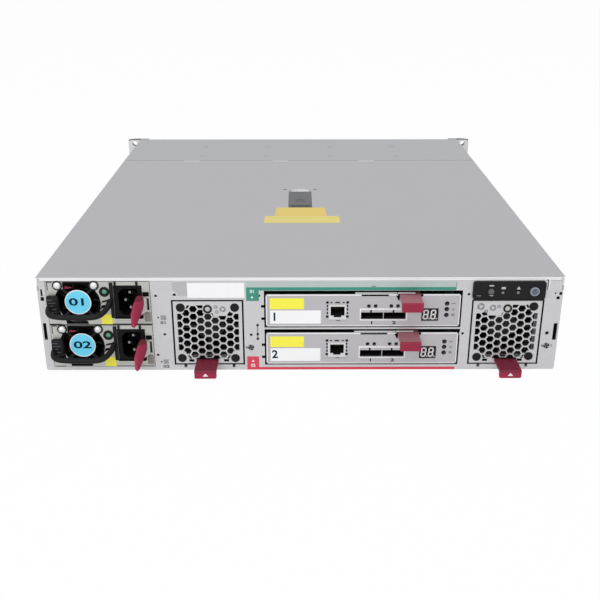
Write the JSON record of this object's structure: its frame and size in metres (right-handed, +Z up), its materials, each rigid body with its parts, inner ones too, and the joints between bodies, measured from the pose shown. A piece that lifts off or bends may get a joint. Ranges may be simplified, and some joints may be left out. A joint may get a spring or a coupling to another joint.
{
  "type": "disk shelf enclosure",
  "caption": "Rack-mounted disk shelf, two units high, with plug-in drives at the front and power supplies, fan modules and port modules at the rear.",
  "frame": {"origin": "middle of the underside, half way between the rear face and the front face of the rack ears", "axes": "+X to the right as seen from the rear, +Y from the rear to the front, +Z up"},
  "size_m": [0.4826, 0.576, 0.0879],
  "materials": {
    "bare_steel": "zinc plated, fine grain",
    "cover_steel": "satin grey",
    "module_steel": "bright plated",
    "ear_steel": "plated, with black end caps",
    "black_plastic": "fine moulded grain",
    "latch_plastic": "dark grey",
    "touch_plastic": "burgundy, for parts that the hand works",
    "button_plastic": "translucent",
    "board": "green circuit board",
    "drive": "dark grey carrier with a metal disk"
  },
  "bodies": {
    "chassis": {"base_pan": "bare_steel", "rear_panel": "bare_steel", "bay_frame": "bare_steel", "drive_cage": "cover_steel", "midplane_boards": "board", "rack_ears": "ear_steel", "power_panel": "black_plastic"},
    "cover": {"top_cover": "cover_steel"},
    "cover_latch": {"cover_latch": "latch_plastic"},
    "power_button": {"power_button": "button_plastic"},
    "locate_button": {"locate_button": "button_plastic"},
    "psu_1": {"psu_1_case": "module_steel", "psu_1_fan_frame": "black_plastic", "psu_1_inlet": "black_plastic", "psu_1_handle": "black_plastic"},
    "psu_1_lever": {"psu_1_lever": "touch_plastic"},
    "psu_1_rotor": {"psu_1_rotor": "black_plastic"},
    "psu_2": {"psu_2_case": "module_steel", "psu_2_fan_frame": "black_plastic", "psu_2_inlet": "black_plastic", "psu_2_handle": "black_plastic"},
    "psu_2_lever": {"psu_2_lever": "touch_plastic"},
    "psu_2_rotor": {"psu_2_rotor": "black_plastic"},
    "fan_1": {"fan_module_1": "module_steel"},
    "fan_1_rotor": {"fan_rotor_1": "black_plastic"},
    "fan_1_tab": {"fan_tab_1": "touch_plastic"},
    "fan_2": {"fan_module_2": "module_steel"},
    "fan_2_rotor": {"fan_rotor_2": "black_plastic"},
    "fan_2_tab": {"fan_tab_2": "touch_plastic"},
    "io_a": {"io_a_tray": "module_steel", "io_a_board": "board"},
    "io_a_lever": {"io_a_lever": "touch_plastic"},
    "io_b": {"io_b_tray": "module_steel", "io_b_board": "board"},
    "io_b_lever": {"io_b_lever": "touch_plastic"},
    "drive_01": {"drive_01": "drive"},
    "drive_02": {"drive_02": "drive"},
    "drive_03": {"drive_03": "drive"},
    "drive_04": {"drive_04": "drive"},
    "drive_05": {"drive_05": "drive"},
    "drive_06": {"drive_06": "drive"},
    "drive_07": {"drive_07": "drive"},
    "drive_08": {"drive_08": "drive"},
    "drive_09": {"drive_09": "drive"},
    "drive_10": {"drive_10": "drive"},
    "drive_11": {"drive_11": "drive"},
    "drive_12": {"drive_12": "drive"},
    "drive_13": {"drive_13": "drive"},
    "drive_14": {"drive_14": "drive"},
    "drive_15": {"drive_15": "drive"},
    "drive_16": {"drive_16": "drive"},
    "drive_17": {"drive_17": "drive"},
    "drive_18": {"drive_18": "drive"},
    "drive_19": {"drive_19": "drive"},
    "drive_20": {"drive_20": "drive"},
    "drive_21": {"drive_21": "drive"},
    "drive_22": {"drive_22": "drive"},
    "drive_23": {"drive_23": "drive"},
    "drive_24": {"drive_24": "drive"},
    "drive_25": {"drive_25": "drive"}
  },
  "joints": [
    {"name": "cover_slide", "type": "slide", "parent": "chassis", "child": "cover", "axis": [0, -1, 0], "range_m": [0, 0.014]},
    {"name": "cover_latch_lift", "type": "hinge", "parent": "cover", "child": "cover_latch", "pos_m": [0.00065, -0.0641, 0.086], "axis": [1, 0, 0], "range_deg": [0, 70]},
    {"name": "power_button_press", "type": "slide", "parent": "chassis", "child": "power_button", "axis": [0, 1, 0], "range_m": [0, 0.0015], "stiffness_N_per_m": 400},
    {"name": "locate_button_press", "type": "slide", "parent": "chassis", "child": "locate_button", "axis": [0, 1, 0], "range_m": [0, 0.0015], "stiffness_N_per_m": 400},
    {"name": "psu_1_slide", "type": "slide", "parent": "chassis", "child": "psu_1", "axis": [0, -1, 0], "range_m": [0, 0.19]},
    {"name": "psu_1_lever_press", "type": "hinge", "parent": "psu_1", "child": "psu_1_lever", "pos_m": [-0.13395, -0.237, 0.0614], "axis": [0, 0, -1], "range_deg": [0, 3], "stiffness_Nm_per_rad": 2},
    {"name": "psu_1_fan_spin", "type": "hinge", "parent": "psu_1", "child": "psu_1_rotor", "pos_m": [-0.1905, -0.261, 0.0642], "axis": [0, 1, 0], "continuous": true},
    {"name": "psu_2_slide", "type": "slide", "parent": "chassis", "child": "psu_2", "axis": [0, -1, 0], "range_m": [0, 0.19]},
    {"name": "psu_2_lever_press", "type": "hinge", "parent": "psu_2", "child": "psu_2_lever", "pos_m": [-0.13395, -0.237, 0.0207], "axis": [0, 0, -1], "range_deg": [0, 3], "stiffness_Nm_per_rad": 2},
    {"name": "psu_2_fan_spin", "type": "hinge", "parent": "psu_2", "child": "psu_2_rotor", "pos_m": [-0.1905, -0.261, 0.0235], "axis": [0, 1, 0], "continuous": true},
    {"name": "fan_1_slide", "type": "slide", "parent": "chassis", "child": "fan_1", "axis": [0, -1, 0], "range_m": [0, 0.078]},
    {"name": "fan_1_tab_lift", "type": "hinge", "parent": "fan_1", "child": "fan_1_tab", "pos_m": [-0.0819, -0.261, 0.009], "axis": [-1, 0, 0], "range_deg": [0, 8], "stiffness_Nm_per_rad": 1},
    {"name": "fan_1_spin", "type": "hinge", "parent": "fan_1", "child": "fan_1_rotor", "pos_m": [-0.08, -0.249, 0.036], "axis": [0, 1, 0], "continuous": true},
    {"name": "fan_2_slide", "type": "slide", "parent": "chassis", "child": "fan_2", "axis": [0, -1, 0], "range_m": [0, 0.078]},
    {"name": "fan_2_tab_lift", "type": "hinge", "parent": "fan_2", "child": "fan_2_tab", "pos_m": [0.1802, -0.261, 0.009], "axis": [-1, 0, 0], "range_deg": [0, 8], "stiffness_Nm_per_rad": 1},
    {"name": "fan_2_spin", "type": "hinge", "parent": "fan_2", "child": "fan_2_rotor", "pos_m": [0.1778, -0.249, 0.036], "axis": [0, 1, 0], "continuous": true},
    {"name": "io_a_slide", "type": "slide", "parent": "chassis", "child": "io_a", "axis": [0, -1, 0], "range_m": [0, 0.39]},
    {"name": "io_a_lever_lift", "type": "hinge", "parent": "io_a", "child": "io_a_lever", "pos_m": [0.0935, -0.261, 0.0705], "axis": [-1, 0, 0], "range_deg": [0, 6], "stiffness_Nm_per_rad": 1},
    {"name": "io_b_slide", "type": "slide", "parent": "chassis", "child": "io_b", "axis": [0, -1, 0], "range_m": [0, 0.39]},
    {"name": "io_b_lever_lift", "type": "hinge", "parent": "io_b", "child": "io_b_lever", "pos_m": [0.0935, -0.261, 0.0345], "axis": [-1, 0, 0], "range_deg": [0, 6], "stiffness_Nm_per_rad": 1},
    {"name": "drive_01_slide", "type": "slide", "parent": "chassis", "child": "drive_01", "axis": [0, 1, 0], "range_m": [0, 0.125]},
    {"name": "drive_02_slide", "type": "slide", "parent": "chassis", "child": "drive_02", "axis": [0, 1, 0], "range_m": [0, 0.125]},
    {"name": "drive_03_slide", "type": "slide", "parent": "chassis", "child": "drive_03", "axis": [0, 1, 0], "range_m": [0, 0.125]},
    {"name": "drive_04_slide", "type": "slide", "parent": "chassis", "child": "drive_04", "axis": [0, 1, 0], "range_m": [0, 0.125]},
    {"name": "drive_05_slide", "type": "slide", "parent": "chassis", "child": "drive_05", "axis": [0, 1, 0], "range_m": [0, 0.125]},
    {"name": "drive_06_slide", "type": "slide", "parent": "chassis", "child": "drive_06", "axis": [0, 1, 0], "range_m": [0, 0.125]},
    {"name": "drive_07_slide", "type": "slide", "parent": "chassis", "child": "drive_07", "axis": [0, 1, 0], "range_m": [0, 0.125]},
    {"name": "drive_08_slide", "type": "slide", "parent": "chassis", "child": "drive_08", "axis": [0, 1, 0], "range_m": [0, 0.125]},
    {"name": "drive_09_slide", "type": "slide", "parent": "chassis", "child": "drive_09", "axis": [0, 1, 0], "range_m": [0, 0.125]},
    {"name": "drive_10_slide", "type": "slide", "parent": "chassis", "child": "drive_10", "axis": [0, 1, 0], "range_m": [0, 0.125]},
    {"name": "drive_11_slide", "type": "slide", "parent": "chassis", "child": "drive_11", "axis": [0, 1, 0], "range_m": [0, 0.125]},
    {"name": "drive_12_slide", "type": "slide", "parent": "chassis", "child": "drive_12", "axis": [0, 1, 0], "range_m": [0, 0.125]},
    {"name": "drive_13_slide", "type": "slide", "parent": "chassis", "child": "drive_13", "axis": [0, 1, 0], "range_m": [0, 0.125]},
    {"name": "drive_14_slide", "type": "slide", "parent": "chassis", "child": "drive_14", "axis": [0, 1, 0], "range_m": [0, 0.125]},
    {"name": "drive_15_slide", "type": "slide", "parent": "chassis", "child": "drive_15", "axis": [0, 1, 0], "range_m": [0, 0.125]},
    {"name": "drive_16_slide", "type": "slide", "parent": "chassis", "child": "drive_16", "axis": [0, 1, 0], "range_m": [0, 0.125]},
    {"name": "drive_17_slide", "type": "slide", "parent": "chassis", "child": "drive_17", "axis": [0, 1, 0], "range_m": [0, 0.125]},
    {"name": "drive_18_slide", "type": "slide", "parent": "chassis", "child": "drive_18", "axis": [0, 1, 0], "range_m": [0, 0.125]},
    {"name": "drive_19_slide", "type": "slide", "parent": "chassis", "child": "drive_19", "axis": [0, 1, 0], "range_m": [0, 0.125]},
    {"name": "drive_20_slide", "type": "slide", "parent": "chassis", "child": "drive_20", "axis": [0, 1, 0], "range_m": [0, 0.125]},
    {"name": "drive_21_slide", "type": "slide", "parent": "chassis", "child": "drive_21", "axis": [0, 1, 0], "range_m": [0, 0.125]},
    {"name": "drive_22_slide", "type": "slide", "parent": "chassis", "child": "drive_22", "axis": [0, 1, 0], "range_m": [0, 0.125]},
    {"name": "drive_23_slide", "type": "slide", "parent": "chassis", "child": "drive_23", "axis": [0, 1, 0], "range_m": [0, 0.125]},
    {"name": "drive_24_slide", "type": "slide", "parent": "chassis", "child": "drive_24", "axis": [0, 1, 0], "range_m": [0, 0.125]},
    {"name": "drive_25_slide", "type": "slide", "parent": "chassis", "child": "drive_25", "axis": [0, 1, 0], "range_m": [0, 0.125]}
  ]
}
